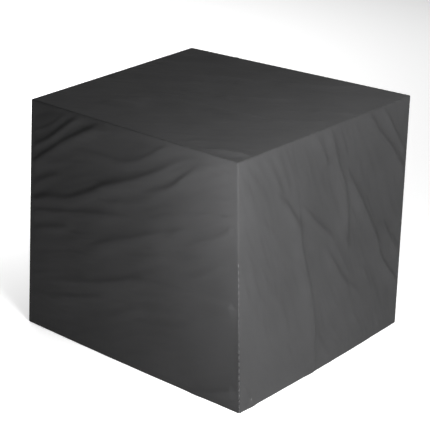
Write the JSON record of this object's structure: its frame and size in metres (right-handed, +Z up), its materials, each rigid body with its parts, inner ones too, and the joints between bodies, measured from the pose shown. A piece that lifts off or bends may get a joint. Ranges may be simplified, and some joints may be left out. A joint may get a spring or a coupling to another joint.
{
  "type": "fitted outdoor air conditioner cover",
  "caption": "Fitted box-shaped cloth cover for an outdoor cooling unit, open below, sewn from a square top and four walls, with pulled folds.",
  "frame": {"origin": "middle of the top panel's underside, where the covered unit carries the cloth", "axes": "+Z up, -Y out of the front wall, +X out of the right wall"},
  "size_m": [0.6621, 0.6304, 0.5656],
  "materials": {
    "cover_cloth": "matte charcoal woven polyester with a faint sheen"
  },
  "bodies": {
    "root": {"top_panel": "cover_cloth", "front_panel": "cover_cloth", "right_panel": "cover_cloth", "back_panel": "cover_cloth", "left_panel": "cover_cloth"}
  },
  "joints": []
}
